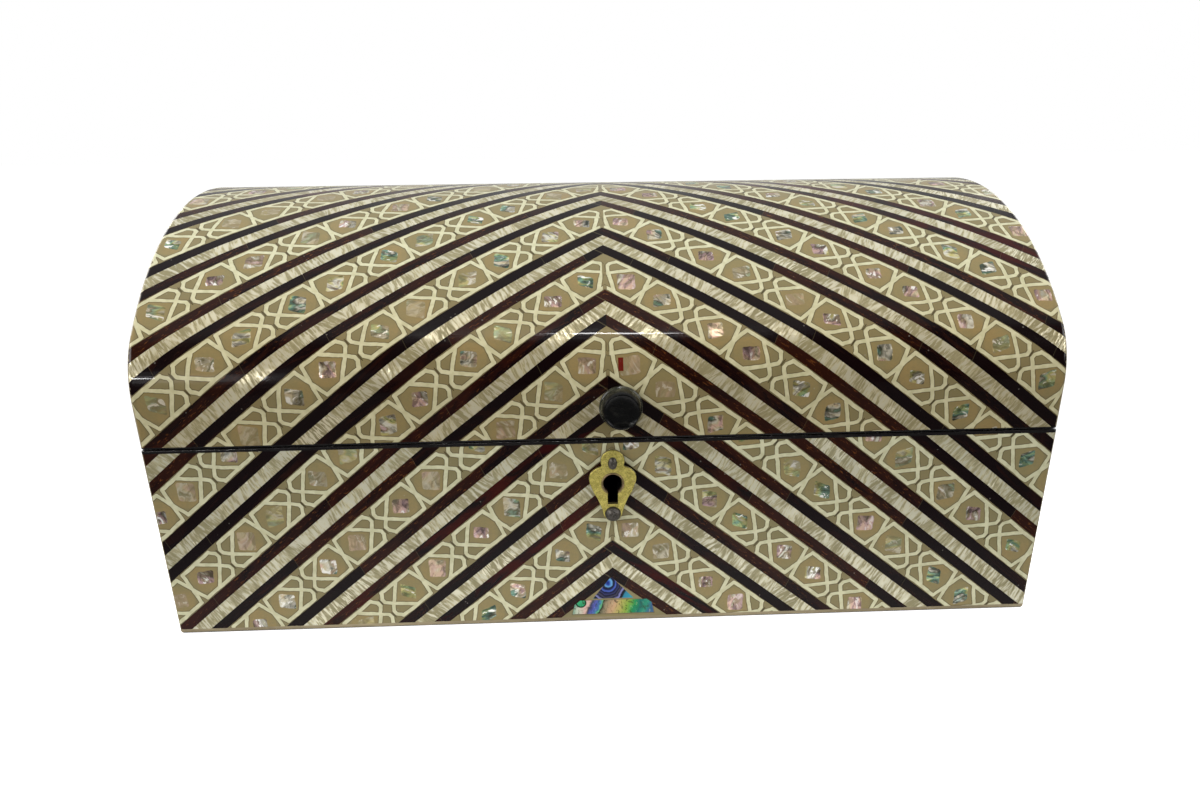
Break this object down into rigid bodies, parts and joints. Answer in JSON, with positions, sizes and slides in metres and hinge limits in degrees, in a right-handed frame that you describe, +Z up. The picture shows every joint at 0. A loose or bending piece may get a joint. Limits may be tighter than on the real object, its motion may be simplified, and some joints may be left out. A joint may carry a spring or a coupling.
{
  "type": "shell box",
  "caption": "Domed-lid wooden casket with chevron shell, bone and dark wood inlay, a keyhole plate, a pull knob and a hollow lid that lifts off.",
  "frame": {"origin": "middle of the flat underside", "axes": "+X along the front, +Y towards the back, +Z up; the keyhole faces -Y"},
  "size_m": [0.25, 0.1796, 0.1181],
  "materials": {
    "inlaid_wood": "clear gloss lacquer over flush shell, bone, tortoiseshell and dark wood inlay",
    "black_wood": "turned and black polished",
    "brass": "cast brass, worn and lightly pitted",
    "iron": "dark dull nail iron"
  },
  "bodies": {
    "root": {"base_box": "inlaid_wood", "lid_shell": "inlaid_wood", "knob": "black_wood", "escutcheon": "brass", "escutcheon_nail_top": "iron", "escutcheon_nail_bottom": "iron"}
  },
  "joints": []
}
